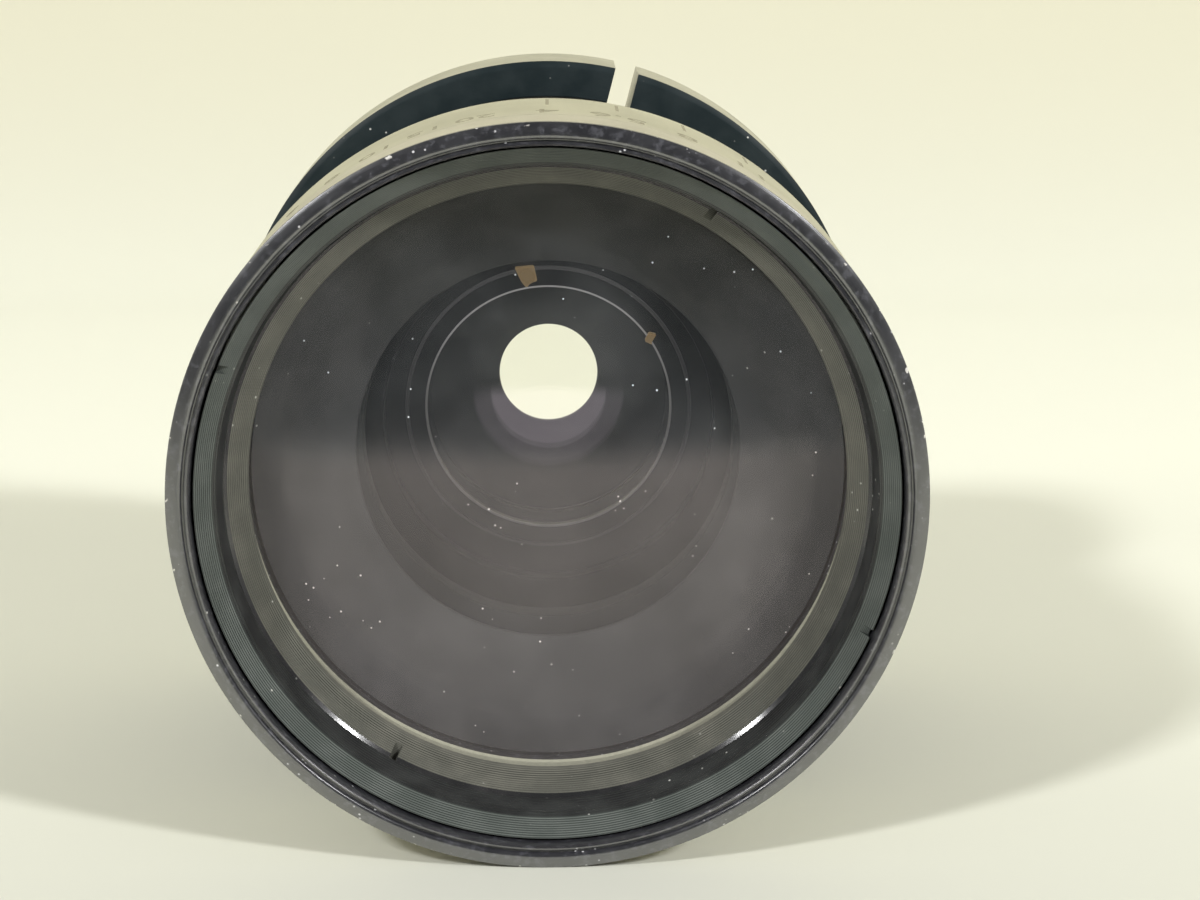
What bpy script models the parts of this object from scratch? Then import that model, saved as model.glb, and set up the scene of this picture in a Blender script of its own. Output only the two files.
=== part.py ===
"""Large enlarging lens, lying on its side with its front towards -Y.

Every length below is in millimetres; MM turns it into Blender's metres.
"Depth" runs along the optical axis from the plane of the front rim towards the back,
and "radius" is measured from that axis.  The world origin is the point of the axis in
the rear face of the mount collar, where a lens board seats.  Clock positions ("face
degrees") are counter-clockwise from +X as seen from the front of the lens.
"""
import math

import bmesh
import bpy
from mathutils import Matrix, Vector

MM = 0.001

# ---- driving dimensions (millimetres and degrees) ------------------------------------
GAP = 0.3                    # clearance kept between touching pieces
RIM_RADIUS = 40.0            # outer radius of the front rim
RIM_THICKNESS = 1.4
BORE_FRONT = 37.5            # bore that takes the outer retaining ring
BORE_CELL = 36.3             # bore that takes the front element
BORE_TAIL = 34.0             # bore behind the cell shoulder
SHOULDER_FRONT = 21.1
SHOULDER_REAR = 22.9
SLEEVE_SEAT = 38.0           # the aperture ring turns on this radius
RING_RADIUS = 39.9
RING_REAR = 28.8
TAIL_END = 38.4
NECK_RADIUS = 35.6           # waist of the main barrel, in front of the collar
COLLAR_RADIUS = 40.4
COLLAR_BORE = 34.8
COLLAR_FRONT = 74.6
COLLAR_REAR = 88.1           # the lens seats on a board here: this is the world origin
COLLAR_SLOT_WIDTH = 3.0
COLLAR_SLOT_AT = 75.5        # face degrees
BARREL_END = 94.7
END_RADIUS = 32.6            # threaded end of the rear barrel
REAR_LEDGE = 83.5            # the rear cover ring seats on this ledge
CELL_BORE = 24.6             # inner cell, holds the second and third elements
REAR_BORE = 18.3             # rear cell, holds the fourth and the rear element
IRIS_OPEN_RADIUS = 14.8
EXIT_RADIUS = 6.35           # hole in the exit baffle

BLADE_COUNT = 8
BLADE_PIVOT_RADIUS = 27.0
BLADE_INNER = 15.4
BLADE_OUTER = 22.6
BLADE_EAR = 28.8
BLADE_THICKNESS = 0.12
BLADE_RISE_PER_DEGREE = 0.6 / 45
BLADE_DEPTH = 55.2           # front face of a blade at its own pivot
DRIVE_PIN_RADIUS = 24.6      # where a blade's drive pin sits with the iris open
DRIVE_PIN_AT = 13.0          # degrees past the blade's pivot
BLADE_SWING = 22.0           # degrees a blade turns from open to stopped down
RING_SWING = 33.0            # degrees the aperture ring turns for that
PIN_RADIUS = 0.6
PIN_SIDES = 10

DRIVE_SCREW_AT = -58.5       # face degrees, in the middle of a facet as all radial holes are
DRIVE_SCREW_DEPTH = 25.8
CLICK_AT = 112.5
SET_SCREW_DEPTH = 35.4
SET_SCREWS_AT = (31.5, 148.5, 265.5)

OUTER_SEGMENTS = 40          # facets round the large turned pieces
INNER_SEGMENTS = 24          # facets round the small ones


def clear_scene():
    """Start from an empty file."""
    for thing in list(bpy.data.objects):
        bpy.data.objects.remove(thing, do_unlink=True)


def make_material(name, colour, roughness, metallic=0.0, transmission=0.0):
    """Principled material for one sub-part."""
    material = bpy.data.materials.new(name)
    material.use_nodes = True
    shader = material.node_tree.nodes["Principled BSDF"]
    shader.inputs["Base Color"].default_value = (*colour, 1.0)
    shader.inputs["Roughness"].default_value = roughness
    shader.inputs["Metallic"].default_value = metallic
    shader.inputs["Transmission Weight"].default_value = transmission
    return material


BLACK_ANODISED = ((0.030, 0.030, 0.035), 0.38, 0.3)
GROOVED_BLACK = ((0.075, 0.085, 0.080), 0.50, 0.2)
SATIN_SILVER = ((0.80, 0.78, 0.70), 0.35, 1.0)
IRIS_BLACK = ((0.020, 0.020, 0.022), 0.55, 0.3)
STEEL = ((0.45, 0.45, 0.46), 0.30, 1.0)
COATED_GLASS = ((0.80, 0.86, 0.84), 0.02, 0.0, 1.0)
AMBER_PLASTIC = ((0.62, 0.38, 0.14), 0.25)


# ---- placing --------------------------------------------------------------------------
def make_axis():
    """Empty whose local +Z is the optical axis, from the front rim backwards."""
    axis = bpy.data.objects.new("optical_axis", None)
    bpy.context.collection.objects.link(axis)
    axis.location = (0.0, -COLLAR_REAR * MM, 0.0)
    axis.rotation_euler = (-math.pi / 2, 0.0, 0.0)
    return axis


def place(name, mesh, axis, finish):
    """Link a mesh as a named object on the optical axis, with its own material."""
    obj = bpy.data.objects.new(name, mesh)
    bpy.context.collection.objects.link(obj)
    obj.parent = axis
    if not mesh.materials:
        mesh.materials.append(make_material(name + "_finish", *finish))
    return obj


def mesh_from(bm, name):
    """Close a bmesh into a mesh with outward faces, smooth but for its sharp edges."""
    bmesh.ops.recalc_face_normals(bm, faces=bm.faces)
    mesh = bpy.data.meshes.new(name)
    bm.to_mesh(mesh)
    bm.free()
    mesh.shade_smooth()
    mesh.set_sharp_from_angle(angle=math.radians(35))
    return mesh


def on_axis(radius, face_degrees, depth):
    """Point at a clock position, in the optical axis's own frame, in metres."""
    angle = math.radians(face_degrees)
    return Vector((radius * math.cos(angle), -radius * math.sin(angle), depth)) * MM


def radial_frame(radius, face_degrees, depth):
    """Frame whose +Z points straight out from the axis at a clock position."""
    outward = on_axis(1.0, face_degrees, 0.0).normalized()
    along = Vector((0.0, 0.0, 1.0))
    across = along.cross(outward)
    turn = Matrix((across, along, outward)).transposed().to_4x4()
    return Matrix.Translation(on_axis(radius, face_degrees, depth)) @ turn


# ---- meshes ---------------------------------------------------------------------------
def turned(name, outline, segments=OUTER_SEGMENTS):
    """Solid of revolution from a closed loop of (radius, depth) points."""
    bm = bmesh.new()
    rings = []
    for radius, depth in outline:
        count = segments if radius else 1
        ring = []
        for k in range(count):
            angle = math.tau * k / count
            ring.append(bm.verts.new(Vector((radius * math.cos(angle), radius * math.sin(angle), depth)) * MM))
        rings.append(ring)
    for ring, following in zip(rings, rings[1:] + rings[:1]):
        if len(ring) == 1 and len(following) == 1:
            continue
        for k in range(segments):
            after = (k + 1) % segments
            corners = (ring[k % len(ring)], ring[after % len(ring)],
                       following[after % len(following)], following[k % len(following)])
            bm.faces.new(tuple(dict.fromkeys(corners)))
    return mesh_from(bm, name)


def cylinder(name, radius, low, high, sides=16):
    """Cylinder along local Z between two heights."""
    return turned(name, [(0.0, low), (radius, low), (radius, high), (0.0, high)], sides)


def block(name, low, high):
    """Box between two corners."""
    bm = bmesh.new()
    bmesh.ops.create_cube(bm, size=1.0)
    size = Vector(high) - Vector(low)
    middle = (Vector(high) + Vector(low)) / 2
    for vert in bm.verts:
        vert.co = Vector(c * s + m for c, s, m in zip(vert.co, size, middle)) * MM
    return mesh_from(bm, name)


def prism(name, outline, low, high):
    """Upright solid on a closed loop of (x, y) points, between two depths."""
    bm = bmesh.new()
    bottom = [bm.verts.new(Vector((x, y, low)) * MM) for x, y in outline]
    top = [bm.verts.new(Vector((x, y, high)) * MM) for x, y in outline]
    bm.faces.new(bottom)
    bm.faces.new(top)
    for k in range(len(outline)):
        after = (k + 1) % len(outline)
        bm.faces.new((bottom[k], bottom[after], top[after], top[k]))
    return mesh_from(bm, name)


def sector_outline(inner, outer, start, end, steps=12):
    """Loop of (x, y) points round part of a ring; angles in the axis's own degrees."""
    angles = [math.radians(start + (end - start) * k / steps) for k in range(steps + 1)]
    far = [(outer * math.cos(a), outer * math.sin(a)) for a in angles]
    near = [(inner * math.cos(a), inner * math.sin(a)) for a in reversed(angles)]
    return far + near


def cut(target, mesh, axis, frame=Matrix.Identity(4), operation="DIFFERENCE"):
    """Add a Boolean whose cutter is a hidden helper object."""
    cutter = bpy.data.objects.new(target.name + "_cutter", mesh)
    bpy.context.collection.objects.link(cutter)
    cutter.parent = axis
    cutter.matrix_local = frame
    cutter.hide_render = True
    cutter.display_type = "WIRE"
    modifier = target.modifiers.new("cut", "BOOLEAN")
    modifier.operation = operation
    modifier.solver = "EXACT"
    modifier.object = cutter


def sag(curve_radius, radius):
    """How far a spherical surface has fallen back at a radius; the sign is the curve's."""
    size = abs(curve_radius)
    return math.copysign(size - math.sqrt(size * size - radius * radius), curve_radius)


def surface(vertex, curve_radius, clear_radius, steps=4):
    """Points of a lens surface from the axis out; positive curves bulge forwards."""
    radii = [clear_radius * k / steps for k in range(steps + 1)]
    return [(r, vertex + sag(curve_radius, r)) for r in radii]


def element_outline(front, rear, edge_radius):
    """Loop of a glass element from its two surfaces, with a ground cylindrical edge."""
    loop = surface(*front)
    for radius, depth in (loop[-1], surface(*rear)[-1]):
        if radius < edge_radius:
            loop.append((edge_radius, depth))
        elif (radius, depth) not in loop:
            loop.append((radius, depth))
    tail = surface(*rear)
    tail.reverse()
    return loop + [point for point in tail if point not in loop]


# ---- the fixed barrel -----------------------------------------------------------------
def build_front_barrel(axis):
    """Rim, lip, cell bore and the tail that screws into the main barrel."""
    lip_groove = 38.1
    groove_depth = 0.5
    outline = [
        (RIM_RADIUS - 0.5, 0.0), (RIM_RADIUS, 0.5), (RIM_RADIUS, RIM_THICKNESS),
        (SLEEVE_SEAT, RIM_THICKNESS), (SLEEVE_SEAT, RING_REAR + 0.1), (35.0, RING_REAR + 0.1),
        (35.0, TAIL_END), (BORE_TAIL, TAIL_END), (BORE_TAIL, SHOULDER_REAR), (33.0, SHOULDER_REAR),
        (33.0, SHOULDER_FRONT), (BORE_CELL, SHOULDER_FRONT), (BORE_CELL, 8.5), (BORE_FRONT, 8.5),
        (BORE_FRONT, groove_depth), (lip_groove - 0.25, 0.0), (lip_groove - 0.15, groove_depth),
        (lip_groove + 0.15, groove_depth), (lip_groove + 0.25, 0.0),
    ]
    barrel = place("front_barrel", turned("front_barrel", outline), axis, BLACK_ANODISED)

    screw_angle = -DRIVE_SCREW_AT
    margin = 3.0
    arc = sector_outline(33.5, 39.0, screw_angle - RING_SWING - margin, screw_angle + margin)
    cut(barrel, prism("arc_slot", arc, DRIVE_SCREW_DEPTH - 1.5, DRIVE_SCREW_DEPTH + 1.5), axis)

    pocket = cylinder("click_pocket", 1.15, -1.8, 2.0)
    cut(barrel, pocket, axis, radial_frame(36.8, CLICK_AT, DRIVE_SCREW_DEPTH))
    return barrel


def build_main_barrel(axis):
    """Shoulder behind the aperture ring, waist, and the inner flange that holds the rear cell."""
    bore_for_tail = 35.3
    bore_for_rear_barrel = 33.0
    outline = [
        (38.6, RING_REAR + 0.4), (39.0, RING_REAR + 0.8), (39.0, 31.4), (37.5, 31.4), (37.5, 48.0),
        (NECK_RADIUS, 54.0), (NECK_RADIUS, COLLAR_FRONT - GAP), (bore_for_rear_barrel, COLLAR_FRONT - GAP),
        (bore_for_rear_barrel, 62.0), (22.0, 62.0), (22.0, 59.2), (BORE_TAIL, 59.2),
        (BORE_TAIL, 43.0), (bore_for_tail, 43.0), (bore_for_tail, RING_REAR + 0.4),
    ]
    barrel = place("main_barrel", turned("main_barrel", outline), axis, BLACK_ANODISED)
    for face_degrees in SET_SCREWS_AT:
        hole = cylinder("set_screw_hole", 1.3, -3.0, 3.0)
        cut(barrel, hole, axis, radial_frame(36.4, face_degrees, SET_SCREW_DEPTH))
    return barrel


def build_rear_barrel(axis):
    """Tube that screws into the waist and carries the collar, the end ring and the cover ring."""
    seat_radius = COLLAR_BORE - GAP
    outline = [
        (29.0, 66.0), (32.7, 66.0), (32.7, COLLAR_FRONT), (seat_radius, COLLAR_FRONT),
        (seat_radius, COLLAR_REAR), (END_RADIUS, COLLAR_REAR), (END_RADIUS, BARREL_END - 0.4),
        (END_RADIUS - 0.4, BARREL_END), (30.5, BARREL_END), (30.5, REAR_LEDGE), (29.0, REAR_LEDGE),
    ]
    return place("rear_barrel", turned("rear_barrel", outline), axis, BLACK_ANODISED)


def build_collar(axis):
    """Split mount collar: a thick ring with one slot right through its wall."""
    chamfer = 0.8
    bore_chamfer = 1.2
    outline = [
        (COLLAR_BORE, COLLAR_FRONT + bore_chamfer), (COLLAR_BORE + bore_chamfer, COLLAR_FRONT),
        (COLLAR_RADIUS - chamfer, COLLAR_FRONT),
        (COLLAR_RADIUS, COLLAR_FRONT + chamfer / 2), (COLLAR_RADIUS, COLLAR_REAR - 0.4),
        (COLLAR_RADIUS - 0.4, COLLAR_REAR), (COLLAR_BORE, COLLAR_REAR),
    ]
    collar = place("mount_collar", turned("mount_collar", outline), axis, SATIN_SILVER)
    half = COLLAR_SLOT_WIDTH / 2
    slot = block("collar_slot", (-half, -10.0, -5.0), (half, 10.0, 5.0))
    middle = (COLLAR_FRONT + COLLAR_REAR) / 2
    cut(collar, slot, axis, radial_frame(38.0, COLLAR_SLOT_AT, middle))
    return collar


def notched_ring(axis, name, outline, notches, notch_radius, notch_depth, finish, segments):
    """Threaded ring with spanner notches in the face nearest the user."""
    ring = place(name, turned(name, outline, segments), axis, finish)
    for face_degrees in notches:
        notch = block(name + "_notch", (-0.45, -1.0, -1.3), (0.45, 1.0, 1.3))
        cut(ring, notch, axis, radial_frame(notch_radius, face_degrees, notch_depth))
    return ring


def build_rings(axis):
    """All the threaded rings and plain spacers."""
    notched_ring(axis, "outer_retaining_ring",
                 [(37.2, 1.9), (35.1, 4.4), (34.7, 8.3), (37.2, 8.3)],
                 (157.5, -22.5), 36.9, 1.9, GROOVED_BLACK, OUTER_SEGMENTS)
    notched_ring(axis, "inner_retaining_ring",
                 [(36.0, 8.7), (34.4, 8.7), (32.4, 11.3), (32.4, 12.1), (36.0, 12.1)],
                 (58.5, 238.5), 34.3, 8.8, GROOVED_BLACK, OUTER_SEGMENTS)
    notched_ring(axis, "inner_cell_ring",
                 [(19.7, 45.7), (24.3, 45.7), (24.3, 49.0), (19.7, 49.0)],
                 (0.0, 180.0), 21.0, 49.2, BLACK_ANODISED, INNER_SEGMENTS)
    notched_ring(axis, "rear_retaining_ring",
                 [(15.2, 83.2), (18.0, 83.2), (18.0, 86.2), (16.0, 86.2)],
                 (0.0, 180.0), 16.8, 86.4, BLACK_ANODISED, INNER_SEGMENTS)
    notched_ring(axis, "rear_cover_ring",
                 [(22.0, REAR_LEDGE + GAP), (30.2, REAR_LEDGE + GAP), (30.2, 85.8), (22.0, 85.8)],
                 (90.0, 270.0), 26.0, 86.0, BLACK_ANODISED, OUTER_SEGMENTS)
    ring_bore = END_RADIUS + GAP
    ring_front = COLLAR_REAR + GAP
    notched_ring(axis, "barrel_end_ring",
                 [(ring_bore, ring_front), (34.4, ring_front), (34.4, 91.2), (34.2, 91.4), (ring_bore, 91.4)],
                 (45.0, 225.0), 34.2, 91.3, BLACK_ANODISED, OUTER_SEGMENTS)
    spacer = turned("cell_spacer", [(21.5, 35.1), (24.3, 35.1), (24.3, 40.3), (21.5, 38.9)], INNER_SEGMENTS)
    place("cell_spacer", spacer, axis, IRIS_BLACK)


def build_cells(axis):
    """Inner cell behind the front element, rear cell, and the baffle with the exit hole."""
    inner = [
        (32.7, 21.4), (32.7, 22.6), (29.5, 23.5), (26.2, 26.0), (26.2, 52.9), (CELL_BORE, 52.9),
        (CELL_BORE, 28.3), (21.8, 28.3), (21.8, 27.6), (31.6, 21.4),
    ]
    place("inner_cell", turned("inner_cell", inner), axis, IRIS_BLACK)
    rear = [
        (14.6, 59.0), (21.7, 59.0), (21.7, 62.3), (26.0, 62.3), (26.0, 64.5), (21.7, 64.5),
        (21.7, 86.8), (REAR_BORE, 86.8), (REAR_BORE, 60.5), (15.6, 60.5),
    ]
    place("rear_cell", turned("rear_cell", rear, INNER_SEGMENTS), axis, IRIS_BLACK)
    baffle = [(18.0, 65.2), (18.0, 77.2), (EXIT_RADIUS, 77.2), (EXIT_RADIUS, 76.6), (16.8, 65.2)]
    place("exit_baffle", turned("exit_baffle", baffle, INNER_SEGMENTS), axis, IRIS_BLACK)


def build_glass(axis):
    """Five elements; each surface is (vertex depth, curve radius, clear radius)."""
    elements = {
        "front_element": ((7.4, 105.0, 36.0), (16.0, 140.0, 36.0), 36.0),
        "second_element": ((24.6, 60.0, 24.3), (33.3, 200.0, 24.3), 24.3),
        "third_element": ((34.5, 50.0, 24.3), (37.8, 30.0, 19.7), 24.3),
        "fourth_element": ((64.3, -35.0, 15.0), (70.5, -25.0, 16.4), 18.0),
        "rear_element": ((77.7, 80.0, 18.0), (85.8, -40.0, 18.0), 18.0),
    }
    for name, (front, rear, edge) in elements.items():
        segments = OUTER_SEGMENTS if edge > 30 else INNER_SEGMENTS
        place(name, turned(name, element_outline(front, rear, edge), segments), axis, COATED_GLASS)


# ---- the iris and what turns it -------------------------------------------------------
def blade_station(degrees):
    """Inner and outer radius of a blade at an angle past its pivot."""
    ear_start, ear_end = -5.0, 17.0
    outer = BLADE_EAR if ear_start <= degrees <= ear_end else BLADE_OUTER
    return BLADE_INNER, outer


def blade_mesh():
    """Crescent blade with an ear for its two pins; it climbs gently so blades can overlap."""
    plain = [-5.0, 0.0, 6.0, 12.0, 17.0, 19.0, 28.0, 37.0, 46.0, 55.0, 64.0, 73.0, 82.0, 91.0]
    stations = [(-8.0, 17.5, 21.0)]
    stations += [(degrees, *blade_station(degrees)) for degrees in plain]
    stations += [(97.0, 15.9, 22.1), (100.0, 17.6, 20.6)]
    bm = bmesh.new()
    sections = []
    for degrees, inner, outer in stations:
        angle = math.radians(degrees)
        low = BLADE_DEPTH + BLADE_RISE_PER_DEGREE * degrees
        corners = ((inner, low), (outer, low), (outer, low + BLADE_THICKNESS), (inner, low + BLADE_THICKNESS))
        sections.append([
            bm.verts.new(Vector((r * math.cos(angle) - BLADE_PIVOT_RADIUS, r * math.sin(angle), z)) * MM)
            for r, z in corners
        ])
    for first, second in zip(sections, sections[1:]):
        for k in range(4):
            after = (k + 1) % 4
            bm.faces.new((first[k], first[after], second[after], second[k]))
    bm.faces.new(sections[0])
    bm.faces.new(sections[-1])
    return mesh_from(bm, "iris_blade")


def drive_pin_position(blade_degrees):
    """Drive pin's (x, y) when a blade at clock zero has turned, in the axis's own frame."""
    angle = math.radians(DRIVE_PIN_AT)
    pivot = Vector((BLADE_PIVOT_RADIUS, 0.0))
    arm = Vector((DRIVE_PIN_RADIUS * math.cos(angle), DRIVE_PIN_RADIUS * math.sin(angle))) - pivot
    return pivot + Matrix.Rotation(math.radians(blade_degrees), 2) @ arm


def cam_slot_outline(steps=8):
    """Slot in the drive sleeve's flange: the pin's path as the sleeve sees it, widened."""
    half_width = PIN_RADIUS + 0.3
    path = []
    for k in range(-1, steps + 2):
        share = k / steps
        position = drive_pin_position(BLADE_SWING * share)
        path.append(Matrix.Rotation(math.radians(RING_SWING * share), 2) @ position)
    left, right = [], []
    for before, here, after in zip(path, path[1:], path[2:]):
        side = (after - before).normalized().orthogonal() * half_width
        left.append(here + side)
        right.append(here - side)
    forward_start = (path[2] - path[0]).normalized() * half_width
    forward_end = (path[-1] - path[-3]).normalized() * half_width
    tip_end = [path[-2] + forward_end + (left[-1] - path[-2]) * 0.5,
               path[-2] + forward_end + (right[-1] - path[-2]) * 0.5]
    tip_start = [path[1] - forward_start + (right[0] - path[1]) * 0.5,
                 path[1] - forward_start + (left[0] - path[1]) * 0.5]
    return [tuple(p) for p in left + tip_end + right[::-1] + tip_start]


def build_iris(axis):
    """Fixed base with pivot holes, and the blades that swing in it."""
    base = [
        (IRIS_OPEN_RADIUS, 53.2), (26.5, 53.2), (26.5, 49.0), (28.0, 49.0), (28.0, 53.2),
        (31.5, 53.2), (31.5, 54.7), (IRIS_OPEN_RADIUS, 54.7),
    ]
    plate = place("iris_base", turned("iris_base", base), axis, IRIS_BLACK)

    template = place("blade_template", blade_mesh(), axis, IRIS_BLACK)
    drive_arm = drive_pin_position(0.0) - Vector((BLADE_PIVOT_RADIUS, 0.0))
    cut(template, cylinder("pivot_pin", PIN_RADIUS, 53.9, BLADE_DEPTH + 0.08, PIN_SIDES), axis,
        operation="UNION")
    cut(template, cylinder("drive_pin", PIN_RADIUS, BLADE_DEPTH + 0.22, 58.1, PIN_SIDES), axis,
        Matrix.Translation((drive_arm.x * MM, drive_arm.y * MM, 0.0)), operation="UNION")
    bpy.context.view_layer.update()
    finished = template.evaluated_get(bpy.context.evaluated_depsgraph_get())
    shared = bpy.data.meshes.new_from_object(finished)
    shared.name = "iris_blade"
    for modifier in template.modifiers:
        bpy.data.objects.remove(modifier.object, do_unlink=True)
    bpy.data.objects.remove(template, do_unlink=True)

    for index in range(BLADE_COUNT):
        angle = math.tau * index / BLADE_COUNT
        name = f"iris_blade_{index + 1}"
        blade = place(name, shared, axis, IRIS_BLACK)
        blade.location = Vector((math.cos(angle), math.sin(angle), 0.0)) * BLADE_PIVOT_RADIUS * MM
        blade.rotation_euler = (0.0, 0.0, angle)
        hole = cylinder("pivot_hole", PIN_RADIUS + 0.3, 53.7, 55.5)
        cut(plate, hole, axis, Matrix.Translation(blade.location))


def build_light_guides(axis):
    """Two amber prisms on the iris base, which carry light out to the aperture scale."""
    corners = {
        "scale_light_guide_1": [(-4.0, 17.4), (-1.7, 17.6), (-1.3, 15.8), (-2.0, 15.7), (-2.6, 15.0), (-3.2, 15.7)],
        "scale_light_guide_2": [(12.2, 9.4), (13.1, 9.2), (12.5, 8.4), (12.6, 8.0), (11.7, 8.4)],
    }
    seat_depth = 53.2 - GAP
    for name, outline in corners.items():
        local = [(x, -height) for x, height in outline]
        place(name, prism(name, local, seat_depth - 1.5, seat_depth), axis, AMBER_PLASTIC)


def build_drive_sleeve(axis):
    """Sleeve from the drive screw back to the slotted flange that moves the blades."""
    outline = [
        (32.2, 23.4), (33.7, 23.4), (33.7, 58.5), (16.0, 58.5), (16.0, 57.3), (32.2, 57.3),
    ]
    sleeve = place("iris_drive_sleeve", turned("iris_drive_sleeve", outline), axis, BLACK_ANODISED)
    for index in range(BLADE_COUNT):
        slot = prism("cam_slot", cam_slot_outline(), 56.5, 59.5)
        cut(sleeve, slot, axis, Matrix.Rotation(math.tau * index / BLADE_COUNT, 4, "Z"))
    hole = cylinder("drive_screw_hole", 1.3, -1.5, 3.0)
    cut(sleeve, hole, axis, radial_frame(32.5, DRIVE_SCREW_AT, DRIVE_SCREW_DEPTH))
    return sleeve


def build_aperture_ring(axis):
    """Bright outer ring, countersunk for the drive screw, with click notches inside."""
    outline = [
        (SLEEVE_SEAT + GAP, 1.7), (RING_RADIUS - 0.3, 1.7), (RING_RADIUS, 2.0), (RING_RADIUS, RING_REAR - 0.3),
        (RING_RADIUS - 0.3, RING_REAR), (SLEEVE_SEAT + GAP, RING_REAR),
    ]
    ring = place("aperture_ring", turned("aperture_ring", outline), axis, SATIN_SILVER)
    hole = cylinder("ring_screw_hole", 1.95, -2.0, 3.0)
    cut(ring, hole, axis, radial_frame(39.0, DRIVE_SCREW_AT, DRIVE_SCREW_DEPTH))
    stops = 4
    for stop in range(stops):
        face_degrees = CLICK_AT - RING_SWING * stop / (stops - 1)
        notch = cylinder("click_notch", 0.7, DRIVE_SCREW_DEPTH - 1.5, DRIVE_SCREW_DEPTH + 1.5, 12)
        frame = Matrix.Translation(on_axis(SLEEVE_SEAT + GAP, face_degrees, 0.0))
        cut(ring, notch, axis, frame)
    return ring


# ---- small hardware -------------------------------------------------------------------
def build_screws(axis):
    """Drive screw of the aperture ring and the three grub screws of the barrel joint."""
    profile = [(0.0, -6.4), (0.8, -6.4), (1.0, -6.2), (1.0, -0.75), (1.65, -0.75), (1.65, 0.45), (0.0, 0.45)]
    screw = place("drive_screw", turned("drive_screw", profile, 16), axis, STEEL)
    screw.matrix_local = radial_frame(39.2, DRIVE_SCREW_AT, DRIVE_SCREW_DEPTH)
    cut(screw, block("screw_slot", (-0.2, -3.0, 0.05), (0.2, 3.0, 1.0)), screw)

    for number, face_degrees in enumerate(SET_SCREWS_AT, start=1):
        name = f"barrel_set_screw_{number}"
        grub_profile = [(0.0, -0.9), (0.6, -0.9), (1.0, -0.5), (1.0, 0.9), (0.0, 0.9)]
        grub = place(name, turned(name, grub_profile, 16), axis, STEEL)
        grub.matrix_local = radial_frame(36.25, face_degrees, SET_SCREW_DEPTH)
        cut(grub, cylinder("hex_socket", 0.5, 0.0, 2.0, 6), grub)


def build_click_stop(axis):
    """Ball and coil spring in a pocket under the aperture ring."""
    bm = bmesh.new()
    bmesh.ops.create_icosphere(bm, subdivisions=2, radius=0.8 * MM)
    ball = place("click_ball", mesh_from(bm, "click_ball"), axis, STEEL)
    ball.matrix_local = radial_frame(37.3, CLICK_AT, DRIVE_SCREW_DEPTH)

    turns = 2.5
    steps = 30
    coil_radius = 0.65
    bottom = -1.45
    top = -0.05
    curve = bpy.data.curves.new("click_spring", "CURVE")
    curve.dimensions = "3D"
    curve.bevel_depth = 0.14 * MM
    curve.bevel_resolution = 1
    curve.use_fill_caps = True
    spline = curve.splines.new("POLY")
    spline.points.add(steps)
    for index, point in enumerate(spline.points):
        share = index / steps
        angle = math.tau * turns * share
        height = bottom + (top - bottom) * share
        point.co = (coil_radius * MM * math.cos(angle), coil_radius * MM * math.sin(angle), height * MM, 1.0)
    spring = bpy.data.objects.new("click_spring", curve)
    bpy.context.collection.objects.link(spring)
    spring.parent = axis
    spring.matrix_local = radial_frame(36.5, CLICK_AT, DRIVE_SCREW_DEPTH)
    curve.materials.append(make_material("click_spring_finish", *STEEL))


def main():
    clear_scene()
    axis = make_axis()
    build_front_barrel(axis)
    build_main_barrel(axis)
    build_rear_barrel(axis)
    build_collar(axis)
    build_rings(axis)
    build_cells(axis)
    build_glass(axis)
    build_iris(axis)
    build_light_guides(axis)
    build_drive_sleeve(axis)
    build_aperture_ring(axis)
    build_screws(axis)
    build_click_stop(axis)


main()
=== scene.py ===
"""Looks for a large enlarging lens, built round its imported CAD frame.

Lengths are in millimetres until a mesh is made.  "Depth" runs along the optical axis from
the plane of the front rim towards the back, "radius" is measured from that axis, and clock
positions ("face degrees") are counter-clockwise from +X as seen from the front.
"""
import math

import bmesh
import bpy
from mathutils import Matrix, Vector


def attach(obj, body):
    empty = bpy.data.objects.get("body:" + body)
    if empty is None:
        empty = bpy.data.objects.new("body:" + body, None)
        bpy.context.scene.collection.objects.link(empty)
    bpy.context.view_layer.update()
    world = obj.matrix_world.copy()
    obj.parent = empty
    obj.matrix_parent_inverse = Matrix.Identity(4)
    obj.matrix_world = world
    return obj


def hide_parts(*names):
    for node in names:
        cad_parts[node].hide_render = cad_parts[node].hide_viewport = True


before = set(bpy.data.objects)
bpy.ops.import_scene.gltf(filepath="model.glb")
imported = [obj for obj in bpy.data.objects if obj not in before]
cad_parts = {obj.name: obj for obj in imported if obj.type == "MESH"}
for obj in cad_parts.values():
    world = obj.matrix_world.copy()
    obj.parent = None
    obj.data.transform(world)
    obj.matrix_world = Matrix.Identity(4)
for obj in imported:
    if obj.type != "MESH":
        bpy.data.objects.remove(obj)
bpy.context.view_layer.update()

MM = 0.001
RIM_TO_ORIGIN = 88.1          # depth of the world origin behind the front rim
ROUND = 256                   # facets round the large turned pieces
ROUND_SMALL = 160             # facets round the small ones
ROUND_SCREW = 48              # facets round a screw
CORNER_STEPS = 4              # steps in a rounded corner
SHARP_ANGLE = 32.0            # edges steeper than this stay sharp, in degrees
ON_AXIS = 1e-6                # a radius below this is a point on the axis
SAME_POINT = 1e-7             # vertices closer than this are one, in metres

# ---- shared sizes, the same as the CAD's (millimetres and degrees) ---------------------
RIM_RADIUS = 40.0
BAND_RADIUS = 39.9
COLLAR_RADIUS = 40.4
COLLAR_FRONT = 74.6
COLLAR_SLOT_AT, COLLAR_SLOT_WIDTH = 75.5, 3.0
DRIVE_SCREW_AT, DRIVE_SCREW_DEPTH = -58.5, 25.8
SET_SCREWS_AT, SET_SCREW_DEPTH = (31.5, 148.5, 265.5), 35.4
RING_SWING = 33.0


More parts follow.
